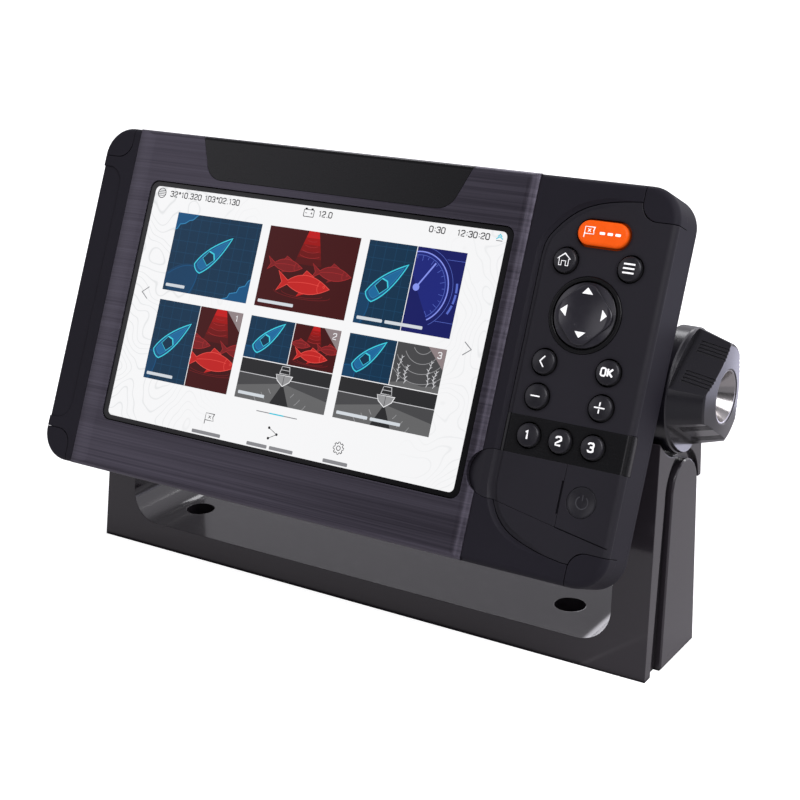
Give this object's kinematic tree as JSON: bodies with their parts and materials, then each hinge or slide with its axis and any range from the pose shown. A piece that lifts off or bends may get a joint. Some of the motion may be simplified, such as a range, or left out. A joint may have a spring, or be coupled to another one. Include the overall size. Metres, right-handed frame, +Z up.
{
  "type": "chartplotter display",
  "caption": "Wide marine navigation display with a keypad on its right, tilting in a U-shaped bracket held by two clamp knobs.",
  "frame": {"origin": "centre of the bracket base on its resting face", "axes": "+X to the viewer's right, +Y to the rear, +Z up"},
  "size_m": [0.2704, 0.0993, 0.1698],
  "materials": {
    "bracket": "dark glossy moulding",
    "nylon": "natural nylon",
    "knob": "satin black moulding",
    "chrome": "polished",
    "stud_steel": "machined",
    "housing": "fine moulded texture",
    "fascia": "dark hairline brushed finish",
    "gloss_black": "gloss",
    "keypad": "soft satin",
    "lens": "cover glass with a printed black border",
    "silicone": "satin silicone",
    "orange_silicone": "satin silicone",
    "rubber_seal": "seal rubber",
    "soft_cover": "soft moulded cover",
    "panel_glass": "display panel",
    "tray_steel": "pressed sheet",
    "board": "solder mask",
    "aluminium": "plain",
    "ceramic": "ceramic patch",
    "film": "polyimide film",
    "brass": "machined",
    "gold": "plated contacts",
    "screw_steel": "stainless",
    "component_black": "moulded part"
  },
  "bodies": {
    "bracket": {"trunnion_bracket": "bracket", "bracket_friction_rings": "nylon"},
    "display": {"front_bezel": "housing", "brushed_fascia": "fascia", "top_insert": "gloss_black", "corner_caps": "housing", "screen_lens": "lens", "lens_gasket": "rubber_seal", "keypad_fascia": "keypad", "key_band": "gloss_black", "dpad_ring": "gloss_black", "rear_housing": "housing", "housing_seal": "rubber_seal", "housing_screws": "screw_steel", "pivot_inserts": "brass", "power_socket": "component_black", "transducer_socket": "component_black", "socket_pins": "gold", "socket_seals": "rubber_seal", "breather_vent": "component_black", "lcd_panel": "panel_glass", "lcd_backlight_frame": "tray_steel", "main_board": "board", "board_screws": "screw_steel", "heat_spreader": "aluminium", "gps_antenna": "ceramic", "buzzer": "component_black", "card_reader": "tray_steel", "keypad_board": "board", "keypad_mat": "silicone", "dome_switches": "tray_steel", "display_ribbon": "film", "keypad_ribbon": "film"},
    "right_clamp": {"thrust_washer_right": "stud_steel"},
    "right_knob": {"knob_grip_right": "knob", "knob_insert_right": "chrome", "clamp_stud_right": "stud_steel"},
    "left_clamp": {"thrust_washer_left": "stud_steel"},
    "left_knob": {"knob_grip_left": "knob", "knob_insert_left": "chrome", "clamp_stud_left": "stud_steel"},
    "waypoint_button": {"key_waypoint": "orange_silicone"},
    "home_button": {"key_home": "silicone"},
    "menu_button": {"key_menu": "silicone"},
    "back_button": {"key_back": "silicone"},
    "ok_button": {"key_ok": "silicone"},
    "minus_button": {"key_minus": "silicone"},
    "plus_button": {"key_plus": "silicone"},
    "one_button": {"key_one": "silicone"},
    "two_button": {"key_two": "silicone"},
    "three_button": {"key_three": "silicone"},
    "power_button": {"power_key": "silicone"},
    "rocker_gimbal": {"dpad_pivot": "nylon"},
    "rocker": {"dpad_rocker": "silicone"},
    "card_cover": {"card_door": "soft_cover"}
  },
  "joints": [
    {"name": "display_tilt", "type": "hinge", "parent": "bracket", "child": "display", "pos_m": [0, 0.0048, 0.0987], "axis": [-1, 0, 0], "range_deg": [-19, 35]},
    {"name": "right_clamp_slide", "type": "slide", "parent": "bracket", "child": "right_clamp", "axis": [1, 0, 0], "range_m": [0, 0.0025]},
    {"name": "right_knob_turn", "type": "hinge", "parent": "right_clamp", "child": "right_knob", "pos_m": [0.12, 0.0048, 0.0987], "axis": [1, 0, 0], "range_deg": [0, 720]},
    {"name": "left_clamp_slide", "type": "slide", "parent": "bracket", "child": "left_clamp", "axis": [-1, 0, 0], "range_m": [0, 0.0025]},
    {"name": "left_knob_turn", "type": "hinge", "parent": "left_clamp", "child": "left_knob", "pos_m": [-0.12, 0.0048, 0.0987], "axis": [-1, 0, 0], "range_deg": [0, 720]},
    {"name": "waypoint_press", "type": "slide", "parent": "display", "child": "waypoint_button", "axis": [0, 0.9191, -0.3939], "range_m": [0, 0.0007], "stiffness_N_per_m": 2000},
    {"name": "home_press", "type": "slide", "parent": "display", "child": "home_button", "axis": [0, 0.9191, -0.3939], "range_m": [0, 0.0007], "stiffness_N_per_m": 2000},
    {"name": "menu_press", "type": "slide", "parent": "display", "child": "menu_button", "axis": [0, 0.9191, -0.3939], "range_m": [0, 0.0007], "stiffness_N_per_m": 2000},
    {"name": "back_press", "type": "slide", "parent": "display", "child": "back_button", "axis": [0, 0.9191, -0.3939], "range_m": [0, 0.0007], "stiffness_N_per_m": 2000},
    {"name": "ok_press", "type": "slide", "parent": "display", "child": "ok_button", "axis": [0, 0.9191, -0.3939], "range_m": [0, 0.0007], "stiffness_N_per_m": 2000},
    {"name": "minus_press", "type": "slide", "parent": "display", "child": "minus_button", "axis": [0, 0.9191, -0.3939], "range_m": [0, 0.0007], "stiffness_N_per_m": 2000},
    {"name": "plus_press", "type": "slide", "parent": "display", "child": "plus_button", "axis": [0, 0.9191, -0.3939], "range_m": [0, 0.0007], "stiffness_N_per_m": 2000},
    {"name": "one_press", "type": "slide", "parent": "display", "child": "one_button", "axis": [0, 0.9191, -0.3939], "range_m": [0, 0.0007], "stiffness_N_per_m": 2000},
    {"name": "two_press", "type": "slide", "parent": "display", "child": "two_button", "axis": [0, 0.9191, -0.3939], "range_m": [0, 0.0007], "stiffness_N_per_m": 2000},
    {"name": "three_press", "type": "slide", "parent": "display", "child": "three_button", "axis": [0, 0.9191, -0.3939], "range_m": [0, 0.0007], "stiffness_N_per_m": 2000},
    {"name": "power_press", "type": "slide", "parent": "display", "child": "power_button", "axis": [0, 0.9191, -0.3939], "range_m": [0, 0.0007], "stiffness_N_per_m": 2000},
    {"name": "rocker_up_down", "type": "hinge", "parent": "display", "child": "rocker_gimbal", "pos_m": [0.0961, -0.02332, 0.12751], "axis": [1, 0, 0], "range_deg": [-2.5, 2.5], "stiffness_Nm_per_rad": 0.5},
    {"name": "rocker_left_right", "type": "hinge", "parent": "rocker_gimbal", "child": "rocker", "pos_m": [0.0961, -0.02332, 0.12751], "axis": [0, 0.3939, 0.9191], "range_deg": [-2.5, 2.5], "stiffness_Nm_per_rad": 0.5},
    {"name": "card_door_swing", "type": "hinge", "parent": "display", "child": "card_cover", "pos_m": [0.101, -0.04829, 0.07587], "axis": [0, 0.3939, 0.9191], "range_deg": [0, 110]}
  ],
  "couplings": [
    {"joint": "right_knob_turn", "follows": "right_clamp_slide", "rad_per_m": 5026.5},
    {"joint": "left_knob_turn", "follows": "left_clamp_slide", "rad_per_m": 5026.5}
  ]
}
